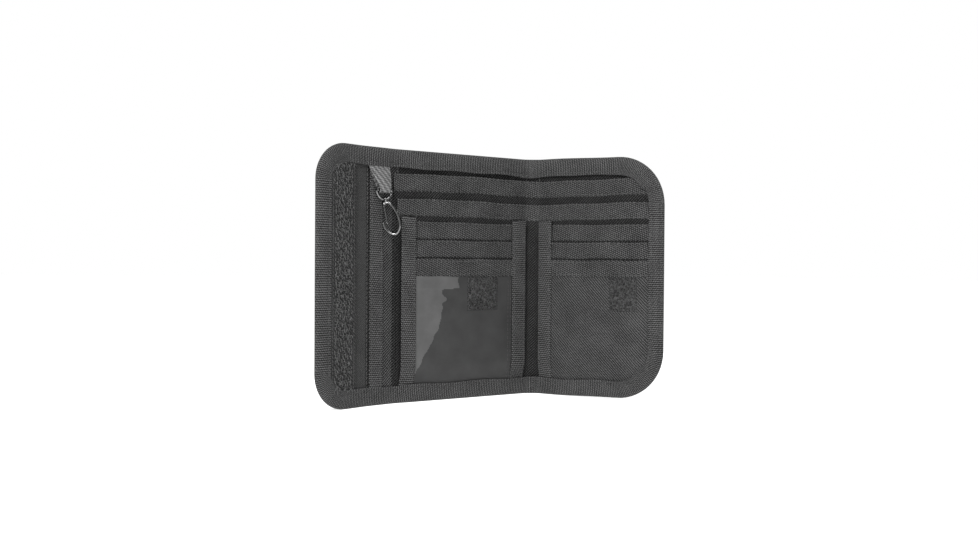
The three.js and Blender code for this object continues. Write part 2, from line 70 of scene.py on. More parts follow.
class Panel:
    """A flat panel of the wallet: x runs along it from its fold, z is up. Millimetres."""

    def __init__(self, body, fold, heading, start):
        self.body = body
        self.fold = Vector(fold)
        self.heading = heading
        self.start = start
        self.across = Vector((cos(heading), sin(heading), 0))
        self.inward = Vector((sin(heading), -cos(heading), 0))

    def at(self, x, depth, z):
        flat = self.fold + self.across * x + self.inward * (depth - FOLD_DEPTH)
        return Vector((flat.x, flat.y, z)) * MM


def fold_point(name):
    place = Vector(JOINTS[name]["pos_m"]) / MM
    return Vector((place.x, place.y, 0))


def rest_turn(name):
    """How far a fold is turned at rest, in radians; its lower limit is the flat wallet."""
    return -radians(JOINTS[name]["range_deg"][0])


SPINE_FOLD = fold_point("spine_fold")
LEFT_FOLD = fold_point("gusset_fold")
SPINE_WIDTH = (fold_point("right_fold") - SPINE_FOLD).length
GUSSET_WIDTH = (fold_point("flap_fold") - LEFT_FOLD).length
GUSSET_HEADING = rest_turn("gusset_fold")
FLAP_HEADING = GUSSET_HEADING + rest_turn("flap_fold")
SPINE_HEADING = -rest_turn("spine_fold")
RIGHT_HEADING = SPINE_HEADING - rest_turn("right_fold")

# s is the distance along the whole unrolled wallet, 0 at the middle of the middle panel
S_LEFT = LEFT_FOLD.x
S_OUTER = S_LEFT - GUSSET_WIDTH
S_SPINE = SPINE_FOLD.x
S_RIGHT = S_SPINE + SPINE_WIDTH

MIDDLE = Panel("middle_panel", (0, SPINE_FOLD.y, 0), 0.0, 0.0)
GUSSET = Panel("gusset", LEFT_FOLD, GUSSET_HEADING, S_LEFT)
FLAP = Panel("flap", fold_point("flap_fold"), FLAP_HEADING, S_OUTER)
SPINE = Panel("spine", SPINE_FOLD, SPINE_HEADING, S_SPINE)
RIGHT = Panel("right_panel", fold_point("right_fold"), RIGHT_HEADING, S_RIGHT)

HEIGHT = 126.6
MID_HEIGHT = HEIGHT / 2
FLAP_LENGTH = 31.5
RIGHT_WIDTH = 73.0
S_START = S_OUTER - FLAP_LENGTH
S_END = S_RIGHT + RIGHT_WIDTH
FLAP_CORNER = 18.0
RIGHT_CORNER = 26.0

# each fold of the cloth: where it is, how far the bend reaches, and the panels it joins
OUTER_BEND = (S_OUTER, 3.0, FLAP, GUSSET)
LEFT_BEND = (S_LEFT, 3.0, GUSSET, MIDDLE)
SPINE_BEND = (S_SPINE, 2.2, MIDDLE, SPINE)
RIGHT_BEND = (S_RIGHT, 2.2, SPINE, RIGHT)
BENDS = [OUTER_BEND, LEFT_BEND, SPINE_BEND, RIGHT_BEND]

# long cloths are cut where no fold is near, so that each length bends at one fold only
CUTS = [S_START, (S_OUTER + S_LEFT) / 2, 0.0, (S_SPINE + S_RIGHT) / 2, S_END]
LENGTHS = [
    ("flap", CUTS[0], CUTS[1], OUTER_BEND),
    ("left", CUTS[1], CUTS[2], LEFT_BEND),
    ("middle", CUTS[2], CUTS[3], SPINE_BEND),
    ("right", CUTS[3], CUTS[4], RIGHT_BEND),
]


def panel_at(s):
    for at, _, left, _ in BENDS:
        if s < at:
            return left
    return RIGHT


def strip_frame(s):
    """The point of the fold plane at s, and the direction towards the pockets there."""
    for at, reach, left, right in BENDS:
        if abs(s - at) < reach:
            turn = right.heading - left.heading
            heading = left.heading + turn * ((s - at) / reach + 1) / 2
            radius = reach / tan(abs(turn) / 2)
            side = 1 if turn < 0 else -1
            fold = right.fold if right.start == at else left.fold
            centre = fold - left.across * reach + left.inward * radius * side
            inward = Vector((sin(heading), -cos(heading), 0))
            return centre - inward * radius * side, inward
    panel = panel_at(s)
    return panel.fold + panel.across * (s - panel.start), panel.inward


# the right panel is drawn in towards its middle height, from nothing at DRAW_STARTS to this
# share of its height at DRAW_ENDS
DRAWN_IN = 0.018
DRAW_STARTS = S_RIGHT + 6
DRAW_ENDS = S_RIGHT + 50


def strip_at(s, depth, z):
    """The place in the world of a place on the unrolled strip."""
    base, inward = strip_frame(s)
    place = base + inward * (depth - FOLD_DEPTH)
    drawn = 1 - DRAWN_IN * ease(DRAW_STARTS, DRAW_ENDS, s)
    return Vector((place.x, place.y, MID_HEIGHT + (z - MID_HEIGHT) * drawn)) * MM


# ---- small maths ----
def ease(low, high, value):
    t = max(0.0, min(1.0, (value - low) / (high - low)))
    return t * t * (3 - 2 * t)


def mixed(a, b, share):
    return a + (b - a) * share


def ripple(x, z, seed):
    """Slow unevenness of sewn cloth, within about -1 to 1."""
    a = sin(x * 0.113 + seed * 1.7) * sin(z * 0.091 + seed * 2.3)
    b = sin(x * 0.271 + z * 0.19 + seed * 0.9)
    c = sin(x * 0.067 - z * 0.233 + seed * 3.1)
    return 0.5 * a + 0.3 * b + 0.2 * c


def steps(low, high, pitch, *extra):
    """Even values from low to high, with any extra ones put in."""
    count = max(1, round((high - low) / pitch))
    values = {round(low + (high - low) * i / count, 4) for i in range(count + 1)}
    values |= {round(v, 4) for v in extra if low < v < high}
    return sorted(values)


def bend_steps():
    return [at + reach * k / 5 for at, reach, _, _ in BENDS for k in range(-7, 8)]


# ---- materials ----
def grey(value):
    """A neutral grey, as black nylon looks in white light."""
    return (value, value, value, 1.0)


class Shader:
    """A principled material, and short ways to add nodes to it."""

    def __init__(self, name, rough=0.6, sheen=0.0, specular=0.4, metallic=0.0):
        self.material = bpy.data.materials.new(name)
        self.material.use_nodes = True
        self.tree = self.material.node_tree
        self.bsdf = self.tree.nodes["Principled BSDF"]
        inputs = self.bsdf.inputs
        inputs["Roughness"].default_value = rough
        inputs["Sheen Weight"].default_value = sheen
        inputs["Sheen Roughness"].default_value = 0.45
        inputs["Specular IOR Level"].default_value = specular
        inputs["Metallic"].default_value = metallic

    def node(self, kind):
        return self.tree.nodes.new(kind)

    def put(self, socket, value):
        if isinstance(value, bpy.types.NodeSocket):
            self.tree.links.new(value, socket)
        else:
            socket.default_value = value

    def maths(self, kind, a, b=0.0, c=None):
        node = self.node("ShaderNodeMath")
        node.operation = kind
        self.put(node.inputs[0], a)
        self.put(node.inputs[1], b)
        if c is not None:
            self.put(node.inputs[2], c)
        return node.outputs[0]

    def cloth_place(self):
        """Along and across the cloth, in millimetres."""
        node = self.node("ShaderNodeUVMap")
        node.uv_map = "cloth"
        split = self.node("ShaderNodeSeparateXYZ")
        self.put(split.inputs[0], node.outputs[0])
        return split.outputs[0], split.outputs[1], node.outputs[0]

    def wave(self, u, v, per_u, per_v, shift=0.0):
        """A sine with so many waves to the millimetre each way."""
        along = self.maths("MULTIPLY", u, 2 * pi * per_u)
        both = self.maths("MULTIPLY_ADD", v, 2 * pi * per_v, along)
        return self.maths("SINE", self.maths("ADD", both, shift))

    def noise(self, vector, scale, detail=2.0, rough=0.5):
        node = self.node("ShaderNodeTexNoise")
        self.put(node.inputs["Vector"], vector)
        node.inputs["Scale"].default_value = scale
        node.inputs["Detail"].default_value = detail
        node.inputs["Roughness"].default_value = rough
        return node.outputs["Fac"]

    def place(self):
        return self.node("ShaderNodeTexCoord").outputs["Object"]

    def ramp(self, value, *stops):
        node = self.node("ShaderNodeValToRGB")
        self.put(node.inputs[0], value)
        stones = node.color_ramp.elements
        while len(stones) < len(stops):
            stones.new(0.5)
        for stone, (at, shade) in zip(stones, stops):
            stone.position = at
            stone.color = grey(shade)
        return node.outputs[0]

    def tint(self, value):
        self.put(self.bsdf.inputs["Base Color"], value)

    def roughness(self, low, high, value):
        self.put(self.bsdf.inputs["Roughness"], self.maths("MULTIPLY_ADD", value, high - low, low))

    def bump(self, height, distance):
        node = self.node("ShaderNodeBump")
        node.inputs["Distance"].default_value = distance * MM
        self.put(node.inputs["Height"], height)
        self.put(self.bsdf.inputs["Normal"], node.outputs[0])


def woven(name, base, dark, light, waves, depth=0.14, rough=0.7, sheen=0.03, gloss=0.12):
    """Cloth whose threads are the product of waves over it, with uneven dye and fuzz.
    dark and light are the painted shade of the gaps and the painted highlight of the thread tops, as shares
    of base, on top of the bump.
    Each wave is (waves per mm along, waves per mm across, weight)."""
    shader = Shader(name, rough, sheen, gloss)
    u, v, vector = shader.cloth_place()
    wander = shader.noise(vector, 0.35, 3.0)
    wander = shader.maths("MULTIPLY", wander, 3.0)
    height = 0.0
    for per_u, per_v, weight in waves:
        wave = shader.wave(u, v, per_u, per_v, wander)
        height = shader.maths("MULTIPLY_ADD", wave, weight, height)
    fuzz = shader.noise(vector, 1.5, 2.0, 0.6)
    fuzz = shader.maths("MULTIPLY_ADD", fuzz, 2.6, -1.3)
    height = shader.maths("ADD", height, fuzz)
    level = shader.maths("MULTIPLY_ADD", height, 0.28, 0.5)
    cloud = shader.noise(vector, 0.08, 3.0, 0.6)
    cloud = shader.maths("MULTIPLY_ADD", cloud, 0.24, -0.12)
    shade = shader.maths("ADD", level, cloud)
    # the ramp paints shade into the thread gaps and a highlight onto the thread tops
    stops = ((0.22, base * dark), (0.52, base), (0.82, base * light))
    shader.tint(shader.ramp(shade, *stops))
    shader.roughness(rough - 0.1, rough + 0.15, level)
    shader.bump(level, depth)
    return shader.material


LINING = woven("dark twill lining", 0.026, 0.02, 4.2, [(0.65, -0.70, 0.9), (0.45, 0.5, 0.2)], 0.3)
# this darker copy of the twill is painted shade for the gaps, creases and the spine
PAINTED_SHADE_TWILL = woven("twill with painted shade", 0.008, 0.02, 6.0, [(0.65, -0.70, 0.9), (0.45, 0.5, 0.2)], 0.3)
PLAIN = woven("plain flap tape", 0.032, 0.25, 2.4, [(0.9, 0.9, 0.5)], 0.12)
NYLON = woven("nylon pocket cloth", 0.036, 0.1, 3.0, [(0.63, 0.60, 0.65), (0.95, -0.85, 0.45)], 0.25)
OUTSIDE = woven("nylon outer cloth", 0.035, 0.2, 2.4, [(0.63, 0.62, 0.6), (0.63, -0.62, 0.5)], 0.25)
BAND = woven("woven pocket tape", 0.031, 0.02, 4.0, [(0.41, 0.93, 0.6), (0.9, 0.1, 0.4)], 0.3)
BINDING = woven("ribbed binding tape", 0.036, 0.04, 3.4, [(0.95, 0.0, 0.8), (0.5, 0.8, 0.3)], 0.3)
SIDE = woven("ribbed side tape", 0.034, 0.04, 3.7, [(0.95, 0.05, 0.7), (0.5, 0.9, 0.5)], 0.3)
STRAP = woven("satin strap tape", 0.10, 0.25, 2.5, [(0.9, 0.15, 0.4), (0.3, 0.35, 0.5)], 0.1, 0.42, 0.15, 0.3)
GROUND = woven("hook tape ground", 0.026, 0.1, 3.0, [(0.55, 0.5, 0.35), (0.75, -0.9, 0.35)], 0.25)


def threads():
    shader = Shader("sewing thread", 0.5, 0.05, 0.2)
    twist = shader.noise(shader.place(), 2600.0, 2.0)
    shader.tint(shader.ramp(twist, (0.3, 0.03), (0.7, 0.085)))
    shader.bump(twist, 0.05)
    return shader.material


def fibres(name, dark, light):
    shader = Shader(name, 0.38, 0.02, 0.25)
    change = shader.noise(shader.place(), 900.0, 3.0)
    shader.tint(shader.ramp(change, (0.35, dark), (0.65, light)))
    shader.roughness(0.3, 0.55, change)
    return shader.material


def wire(name, dark, light, low, high):
    shader = Shader(name, low, 0.0, 0.5, 1.0)
    worn = shader.noise(shader.place(), 420.0, 4.0, 0.6)
    fine = shader.noise(shader.place(), 3000.0, 2.0)
    shader.tint(shader.ramp(worn, (0.35, dark), (0.75, light)))
    shader.roughness(low, high, worn)
    shader.bump(fine, 0.01)
    return shader.material


def board():
    shader = Shader("stiffener board", 0.55, 0.0, 0.4)
    grain = shader.noise(shader.place(), 700.0, 4.0)
    shader.tint(shader.ramp(grain, (0.3, 0.02), (0.7, 0.04)))
    shader.bump(grain, 0.05)
    return shader.material


def clear_film(name, shade, cover):
    """Thin sheet whose grey haze hides most of the cloth behind it, by the share cover."""
    shader = Shader(name, 0.35, 0.0, 0.2)
    place = shader.cloth_place()[2]
    haze = shader.noise(place, 0.09, 3.0)
    shader.tint(shader.ramp(haze, (0.3, shade * 0.85), (0.7, shade * 1.2)))
    fresnel = shader.node("ShaderNodeFresnel")
    fresnel.inputs["IOR"].default_value = 1.45
    alpha = shader.maths("MULTIPLY_ADD", fresnel.outputs[0], 0.3, cover)
    shader.put(shader.bsdf.inputs["Alpha"], alpha)
    shader.roughness(0.3, 0.45, haze)
    return shader.material


THREAD = threads()
HOOKS = fibres("hook bristles", 0.045, 0.15)
LOOPS = fibres("loop pile", 0.02, 0.1)
STEEL = wire("dark plated steel", 0.14, 0.3, 0.14, 0.28)
COIL = fibres("zip coil nylon", 0.02, 0.05)
BOARD = board()
FLAT_FILM = clear_film("film lying on cloth", 0.036, 0.88)
# the lighter shade of the film that stands off is a painted reflection
LOOSE_FILM_PAINTED_REFLECTION = clear_film("film standing off, painted reflection", 0.082, 0.92)


# ---- building meshes ----
def added(name, data):
    """A new object in the scene."""
    made = bpy.data.objects.new(name, data)
    bpy.context.scene.collection.objects.link(made)
    return made


# the cloths stop this far inside the outline
UNDER_BINDING = 1.6


class Pile:
    """Vertices and faces of one piece, gathered from grids, ribbons and threads."""

    def __init__(self):
        self.points = []
        self.uvs = []
        self.faces = []
        self.marks = []

    def add(self, point, uv):
        self.points.append(point)
        self.uvs.append(uv)
        return len(self.points) - 1

    def face(self, corners, mark):
        self.faces.append(corners)
        self.marks.append(mark)

    def rows(self, rows, mark=0, loop=False):
        """Joins rows of (point, uv) with quads; loop joins each row's end to its start."""
        index = [[self.add(point, uv) for point, uv in row] for row in rows]
        for a, b in zip(index, index[1:]):
            ends = range(len(a) if loop else len(a) - 1)
            for i in ends:
                j = (i + 1) % len(a)
                self.face((a[i], a[j], b[j], b[i]), mark)
        return index

    def tube(self, points, radius, sides=6, mark=0, closed=False):
        """Round thread or wire through points, with its ends drawn in."""
        count = len(points)
        rows = []
        helper = Vector((0.31, 0.52, 0.79))
        for i, point in enumerate(points):
            before = points[i - 1] if closed or i else point
            after = points[(i + 1) % count] if closed or i < count - 1 else point
            along = (after - before).normalized()
            side = along.cross(helper).normalized()
            up = side.cross(along)
            size = radius[i] if isinstance(radius, list) else radius
            row = []
            for k in range(sides):
                turn = 2 * pi * k / sides
                offset = (side * cos(turn) + up * sin(turn)) * size * MM
                row.append((point + offset, (k / sides, i)))
            rows.append(row)
        if closed:
            rows.append(rows[0])
        index = self.rows(rows, mark, loop=True)
        if not closed:
            self.face(tuple(index[0]), mark)
            self.face(tuple(reversed(index[-1])), mark)

    def make(self, name, slot, *materials):
        mesh = bpy.data.meshes.new(name)
        mesh.from_pydata(self.points, [], self.faces)
        mesh.validate()
        layer = mesh.uv_layers.new(name="cloth")
        flat = [self.uvs[loop.vertex_index] for loop in mesh.loops]
        layer.data.foreach_set("uv", [value for uv in flat for value in uv])
        for material in materials:
            mesh.materials.append(material)
        mesh.polygons.foreach_set("material_index", self.marks)
        mesh.polygons.foreach_set("use_smooth", [True] * len(self.faces))
        mesh.update()
        made = added(name, mesh)
        return made


def bent(made):
    """Bakes the piece's place into its mesh; it keeps the bend it was built with and is not attached to a
    panel.
    """
    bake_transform(made)


def rounding(distance, radius):
    """Share of a cloth's thickness that is left this close to its edge."""
    if distance >= radius:
        return 1.0
    return sqrt(max(0.0, 1 - (1 - distance / radius) ** 2))


def within_corners(s, low, high):
    """The lowest and highest place of a cloth at s, kept under the binding round the corners."""
    reach = half_height(s, UNDER_BINDING)
    foot = max(low, MID_HEIGHT - reach)
    return foot, max(foot + 0.1, min(high, MID_HEIGHT + reach))


def layer(pile, s_range, low, high, front, thick, open_left=False, open_right=False,
          pitch=2.4, mark=0):
    """A length of cloth with rolled edges. low, high and front are functions; low and high
    give its bottom and top at s, and front the depth of its face at (s, z)."""
    s0, s1 = s_range
    roll = 0.5
    rim = [roll * k for k in (0.04, 0.2, 0.5, 1.0)]
    columns = steps(s0, s1, pitch, *bend_steps(), *[s0 + r for r in rim], *[s1 - r for r in rim])
    tall = high((s0 + s1) / 2) - low((s0 + s1) / 2)
    shares = steps(0.0, 1.0, pitch / tall, *[r / tall for r in rim], *[1 - r / tall for r in rim])

    def row(s, side):
        line = []
        z0, z1 = within_corners(s, low(s), high(s))
        for share in shares:
            z = mixed(z0, z1, share)
            near = min(z - z0, z1 - z) if z1 > z0 else 0.0
            if not open_left:
                near = min(near, s - s0)
            if not open_right:
                near = min(near, s1 - s)
            full = rounding(max(near, 0.0), roll)
            face = front(s, z)
            depth = face - thick / 2 + side * thick / 2 * full
            line.append((strip_at(s, depth, z), (s, z)))
        return line

    faces = [row(s, 1) for s in columns]
    backs = [row(s, -1) for s in columns]
    ahead = pile.rows(faces, mark)
    behind = pile.rows([list(reversed(line)) for line in backs], mark)
    for a, b in zip(range(len(columns)), range(1, len(columns))):
        pile.face((ahead[a][0], ahead[b][0], behind[b][-1], behind[a][-1]), mark)
        pile.face((behind[a][0], behind[b][0], ahead[b][-1], ahead[a][-1]), mark)
    last = len(shares) - 1
    for k in range(last):
        back = last - k
        if not open_left:
            pile.face((ahead[0][k + 1], ahead[0][k], behind[0][back], behind[0][back - 1]), mark)
        if not open_right:
            pile.face((ahead[-1][k], ahead[-1][k + 1], behind[-1][back - 1], behind[-1][back]), mark)


STITCH_PITCH = 2.3
STITCH_RADIUS = 0.17
STITCH_HEIGHT = 0.1


def stitches(pile, place, length, mark, pitch=STITCH_PITCH, radius=STITCH_RADIUS, side=1):
    """Sewing along a line: place(distance) gives (s, depth, z), and side is -1 on the outside."""
    rng = random.Random(7)
    for k in range(int(length / pitch)):
        start = k * pitch + rng.uniform(-0.08, 0.08)
        thread = []
        for share, height in ((0.0, -0.25), (0.14, 0.6), (0.4, 1.0), (0.62, 0.6), (0.74, -0.25)):
            s, depth, z = place(start + share * pitch)
            thread.append(strip_at(s, depth + STITCH_HEIGHT * height * side, z))
        pile.tube(thread, [radius * 0.6, radius, radius, radius, radius * 0.6], 5, mark)


def sew(pile, start, end, depth, mark, **how):
    """Straight sewing from (s, z) to (s, z), on a surface of depth(s, z)."""
    length = hypot(end[0] - start[0], end[1] - start[1])

    def place(distance):
        share = distance / length
        s = mixed(start[0], end[0], share)
        z = mixed(start[1], end[1], share)
        return s, depth(s, z), z

    stitches(pile, place, length, mark, **how)


# ---- outline of the wallet ----
def half_height(s, inset):
    """How far the outline reaches above and below its middle at s, drawn in by inset."""
    full = MID_HEIGHT
    from_start, from_end = s - S_START, S_END - s
    for gap, corner in ((from_start, FLAP_CORNER), (from_end, RIGHT_CORNER)):
        if gap < corner:
            inner = corner - inset
            reach = corner - max(gap, inset)
            return full - corner + sqrt(max(0.0, inner * inner - reach * reach))
    return full - inset


class Rim:
    """The edge of the wallet from one cut to the next, as places with an outward direction."""

    def __init__(self, places):
        self.places = places
        self.lengths = [0.0]
        for (a, _), (b, _) in zip(places, places[1:]):
            self.lengths.append(self.lengths[-1] + hypot(a[0] - b[0], a[1] - b[1]))
        self.length = self.lengths[-1]

    def at(self, distance):
        """((s, z), outward) at a distance along it."""
        for k in range(len(self.lengths) - 1):
            if distance <= self.lengths[k + 1] or k == len(self.lengths) - 2:
                share = (distance - self.lengths[k]) / (self.lengths[k + 1] - self.lengths[k])
                (a, na), (b, nb) = self.places[k], self.places[k + 1]
                place = (mixed(a[0], b[0], share), mixed(a[1], b[1], share))
                return place, (mixed(na[0], nb[0], share), mixed(na[1], nb[1], share))


def straight_rim(s0, s1, top):
    z, out = (HEIGHT, 1) if top else (0.0, -1)
    return [((s, z), (0, out)) for s in steps(s0, s1, 1.6, *bend_steps())]


def end_rim(cut, tip, corner):
    """Round the free end: along the top from the cut, down the end and back along the foot."""
    side = 1 if tip > cut else -1
    centre_s = tip - side * corner
    tops = straight_rim(min(cut, centre_s), max(cut, centre_s), True)
    feet = straight_rim(min(cut, centre_s), max(cut, centre_s), False)
    if side < 0:
        tops.reverse()
        feet.reverse()
    turns = [pi / 2 * k / 14 for k in range(15)]
    arc = []
    for turn in turns[1:]:
        out = (side * sin(turn), cos(turn))
        arc.append(((centre_s + corner * out[0], HEIGHT - corner + corner * out[1]), out))
    down = [((tip, z), (side, 0)) for z in reversed(steps(corner, HEIGHT - corner, 1.6))]
    back = [((s, HEIGHT - z), (o, -p)) for (s, z), (o, p) in reversed(arc)]
    return tops + arc + down[1:-1] + back + list(reversed(feet))[1:]


# ---- binding ----
# depth of the binding's outside, and how far its sewing lies from its inner edge
BACK = -1.5
SEAM_INSET = 1.7
# the middle of the key strap, along the gusset from the gusset's inner fold
STRAP_MIDDLE = -9.6


def inset_of(s, z):
    """How far a place lies in from the right end of the outline."""
    gap = S_END - s
    side = min(z, HEIGHT - z)
    if gap < RIGHT_CORNER and side < RIGHT_CORNER:
        return RIGHT_CORNER - hypot(RIGHT_CORNER - gap, RIGHT_CORNER - side)
    return gap


def pinch(s, z):
    """How much of its height the pocket stack keeps: it is sewn flat at its foot and right end."""
    foot = mixed(0.42, 1.0, ease(8.5, 19.0, z))
    end = mixed(0.45, 1.0, ease(6.5, 13.5, inset_of(s, z)))
    return min(foot, end)


def stack(depth, s, z):
    return FOLD_DEPTH + (depth - FOLD_DEPTH) * pinch(s, z)


def binding_width(s, out):
    """How far the tape reaches in from the edge."""
    if out[1] > 0.5:
        return 9.4 + 0.8 * exp(-(((s - S_SPINE - 4) / 12) ** 2)) + 0.25 * sin(s * 0.21)
    if out[1] < -0.5:
        return 9.0 + 0.3 * sin(s * 0.17)
    if s < 0:
        return mixed(8.8, 8.4, abs(out[0]))
    return mixed(8.6, 7.4, abs(out[0]))


def binding_front(s, out):
    """Depth of the tape's face at its inner edge; it stands over whatever it is sewn upon."""
    over_stack = ease(S_LEFT - 4, S_LEFT + 6, s)
    over_strap = ease(9.0, 5.0, abs(s - S_LEFT - STRAP_MIDDLE + 2))
    top = mixed(1.5, 2.1, over_stack) + 0.7 * over_strap
    foot = mixed(1.6, 2.9, over_stack)
    side = 2.6 if s > 0 else 1.5
    upright = max(0.0, out[1])
    under = max(0.0, -out[1])
    return top * upright ** 2 + foot * under ** 2 + side * out[0] ** 2


def edge_front(front):
    """Depth of the tape's face where it turns over the outer edge."""
    return max(0.75, front * 0.62)


def tape_front(t, width, front):
    """Depth of the tape's face at t in from the outer edge."""
    return mixed(edge_front(front), front, ease(0.0, 1.0, t / width))


def section(width, front, pucker, groove):
    """The tape's section, as (inwards from the edge, depth), from the front inner edge round."""
    wall = 0.45
    middle = (0.9 + BACK) / 2
    points = [(width - 0.05, front - wall), (width, front - wall * 0.45), (width - 0.15, front - 0.06)]
    seam = width - SEAM_INSET
    for t in (width - 0.6, seam + 0.45, seam, seam - 0.5, seam * 0.72, seam * 0.5, seam * 0.32, 1.25):
        slope = tape_front(t, width, front)
        crown = 0.3 * sin(pi * min(1.0, t / seam)) - (0.26 if t == seam else 0.0)
        crown -= groove if t == seam * 0.32 else 0.0
        points.append((t, slope + crown + pucker * sin(pi * t / width)))
    edge = edge_front(front)
    for k in range(1, 8):
        turn = pi * k / 8
        depth = mixed(BACK, edge, (1 + cos(turn)) / 2)
        points.append((1.15 * (1 - sin(turn)), depth))
    back = [1.25, seam * 0.4, seam * 0.75, seam, width - 0.7]
    points += [(t, BACK - 0.18 * sin(pi * t / width) + (0.2 if t == seam else 0)) for t in back]
    points += [(width - 0.5, BACK + wall * 0.4), (width - 0.6, BACK + wall)]
    points += [(2.0, BACK + wall), (0.75, middle), (2.0, edge - wall)]
    return points


def binding_piece(name, rim, nodes):
    pile = Pile()
    rows = []
    for ((s, z), out), run in zip(rim.places, rim.lengths):
        width = binding_width(s, out)
        turning = min(abs(out[0]), abs(out[1])) * 1.6
        pucker = 0.1 * ripple(run * 3, 5, 2) + 0.16 * turning * sin(run * 1.9)
        groove = 0.75 * max(0.0, out[0])
        ring = section(width, binding_front(s, out), pucker, groove)
        line, girth = [], 0.0
        for k, (t, depth) in enumerate(ring):
            if k:
                girth += hypot(t - ring[k - 1][0], depth - ring[k - 1][1])
            line.append((strip_at(s - out[0] * t, depth, z - out[1] * t), (run, girth)))
        rows.append(line)
    pile.rows(rows, 0, loop=True)

    def sewn(side):
        def line(distance):
            (s, z), out = rim.at(min(distance, rim.length))
            width = binding_width(s, out)
            t = width - SEAM_INSET
            front = tape_front(t, width, binding_front(s, out))
            return s - out[0] * t, front - 0.12 if side > 0 else BACK - 0.02, z - out[1] * t
        return line

    for side in (1, -1):
        stitches(pile, sewn(side), rim.length, 1, side=side)
    made = pile.make(name, "binding_tape", BINDING, THREAD)
    bent(made)
    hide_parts(*nodes)


binding_piece("flap_edge_binding", Rim(end_rim(CUTS[1], S_START, FLAP_CORNER)),
              ["flap_binding", "gusset_binding_top", "gusset_binding_bottom"])
binding_piece("right_edge_binding", Rim(end_rim(CUTS[3], S_END, RIGHT_CORNER)),
              ["right_binding", "spine_binding_top", "spine_binding_bottom"])
for top, word in ((True, "top"), (False, "bottom")):
    for part, s0, s1, bend in LENGTHS[1:3]:
        binding_piece(f"{part}_{word}_binding", Rim(straight_rim(s0, s1, top)),
                      [f"middle_binding_{word}"])


# ---- shell, boards and lining ----
def lining_cloth_at(s):
    """Twill on the gusset, a darker twill as painted shade in the outer crease and from the inner fold on,
    where the lining shows only in gaps and the spine, and plain tape on the flap.
    """
    if s < S_OUTER - 0.8:
        return 2
    return 1 if s < S_OUTER + 2.2 or s > S_LEFT else 0


def cloth_length(name, slot, materials, part, front, thick, nodes, mark_at=None):
    label, s0, s1, bend = part
    ends = (s0 > S_START, s1 < S_END)
    span = (s0 if ends[0] else s0 + UNDER_BINDING, s1 if ends[1] else s1 - UNDER_BINDING)
    pile = Pile()
    low = lambda s: MID_HEIGHT - half_height(s, UNDER_BINDING)
    high = lambda s: MID_HEIGHT + half_height(s, UNDER_BINDING)
    layer(pile, span, low, high, front, thick, *ends)
    if mark_at:
        pile.marks = [mark_at(pile.uvs[corners[0]][0]) for corners in pile.faces]
    made = pile.make(f"{name}_{label}", slot, *materials)
    bent(made)
    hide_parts(*nodes)


def shell_face(s, z):
    return -0.52 + 0.04 * ripple(s, z, 4)


def lining_face(s, z):
    return 0.5 + 0.12 * ripple(s * 1.7, z, 1) * ease(0, 12, min(z, HEIGHT - z))


SHELLS = [["flap_shell", "gusset_shell"], ["gusset_shell", "middle_shell"],
          ["middle_shell", "spine_shell"], ["spine_shell", "right_shell"]]
for part, nodes in zip(LENGTHS, SHELLS):
    cloth_length("outer_cloth", "nylon_cloth", [OUTSIDE], part, shell_face, 0.6, nodes)
    linings = [node.replace("shell", "lining") for node in nodes]
    # past the gusset and in its outer crease the lining wears the darker twill, as painted shade
    cloth_length("lining_cloth", "lining_cloth", [LINING, PAINTED_SHADE_TWILL, PLAIN], part, lining_face, 0.32,
                 linings, lining_cloth_at)


def coloured(node, material):
    """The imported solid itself, which is shown in this material."""
    piece = frame["nodes"][node]
    piece.data.materials.clear()
    piece.data.materials.append(material)
    return piece


for node in ("middle_stiffener", "right_stiffener"):
    coloured(node, BOARD)


# ---- dividers ----
STACK_FOOT = 7.3
SLOT_END = S_END - 6.2
TAPE_HEIGHT = 8.8
# depth of each layer of the pocket stack, before it is pinched flat at its foot and end
DEPTHS = {"divider_a": 1.25, "divider_b": 1.75, "pocket_1": 2.1, "pocket_2": 2.5, "backing": 2.66,
          "pocket_3": 2.9, "film": 2.92, "hooks": 3.0, "loops": 3.05, "band": 3.3, "side": 3.75}


def divider(name, top, left_end):
    """A cloth wall as wide as the wallet, with a woven tape folded over its top edge."""
    depth = DEPTHS[name]
    parts = [("left", left_end, CUTS[2], LEFT_BEND, "middle"),
             ("middle", CUTS[2], CUTS[3], SPINE_BEND, "middle"),
             ("right", CUTS[3], SLOT_END, RIGHT_BEND, "right")]

    def sag(s):
        """The top edge hangs a little between its sewn ends."""
        return top + 0.35 * sin(s * 0.062 + depth) + 0.15 * sin(s * 0.21)

    def face(s, z):
        gape = 0.35 * ease(top - 14, top, z) * (1 - exp(-(((s - S_SPINE - 3.7) / 9) ** 2)))
        return stack(depth, s, z) + gape + 0.05 * ripple(s * 1.3, z, depth * 7)

    for label, s0, s1, bend, owner in parts:
        pile = Pile()
        ends = (label != "left", label != "right")
        layer(pile, (s0, s1), lambda s: STACK_FOOT, lambda s: sag(s) - 0.3, face, 0.2, *ends)
        over = lambda s, z: face(s, z) + 0.2
        layer(pile, (s0, s1), lambda s: sag(s) - TAPE_HEIGHT, sag, over, 0.5, *ends, pitch=1.8, mark=1)
        foot = TAPE_HEIGHT - 1.0
        sew(pile, (s0, sag(s0) - foot), (s1, sag(s1) - foot), over, 2)
        runs = steps(s0, s1, 12.0)
        for a, b in zip(runs, runs[1:]):
            sew(pile, (a, sag(a) - 0.6), (b, sag(b) - 0.6), over, 2, pitch=1.7, radius=0.2)
        # the divider's cloth shows only in the gaps under the tapes, and wears the darker twill as painted
        # shade
        made = pile.make(f"{name}_{label}", "lining_cloth", PAINTED_SHADE_TWILL, BAND, THREAD)
        bent(made)
        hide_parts(f"{owner}_{name}")


divider("divider_a", 114.8, S_LEFT - 3.0)
divider("divider_b", 102.2, S_LEFT - 1.2)


